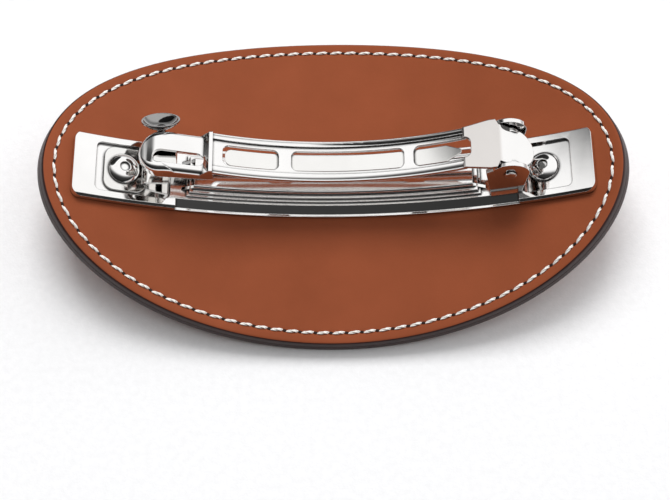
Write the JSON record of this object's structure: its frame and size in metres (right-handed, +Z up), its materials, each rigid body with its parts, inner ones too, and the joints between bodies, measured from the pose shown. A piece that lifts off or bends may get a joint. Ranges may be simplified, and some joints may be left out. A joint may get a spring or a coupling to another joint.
{
  "type": "hair barrette",
  "caption": "Oval leather hair barrette lying on its front, with a sprung metal clip on its back: a bowed slotted arm hinged at one end and caught at the other.",
  "frame": {"origin": "on the surface that the barrette lies on, under the middle of its bounding box", "axes": "+X along the barrette from the catch to the hinge, +Y across it, +Z up from the front face, which lies down"},
  "size_m": [0.0991, 0.0574, 0.0199],
  "materials": {
    "leather": "smooth tan leather",
    "plated_metal": "bright nickel plating",
    "spring_steel": "bright plated spring steel"
  },
  "bodies": {
    "clip_base": {"leather_back": "leather", "leather_front": "leather", "base_plate": "plated_metal", "rivet_left": "plated_metal", "rivet_right": "plated_metal", "hinge_pin": "plated_metal", "catch_spring": "spring_steel", "catch_button": "plated_metal"},
    "clip_arm": {"arm": "plated_metal", "bow_spring": "spring_steel"}
  },
  "joints": [
    {"name": "arm_hinge", "type": "hinge", "parent": "clip_base", "child": "clip_arm", "pos_m": [0.0288, 0, 0.01685], "axis": [0, 1, 0], "range_deg": [0, 75]}
  ]
}
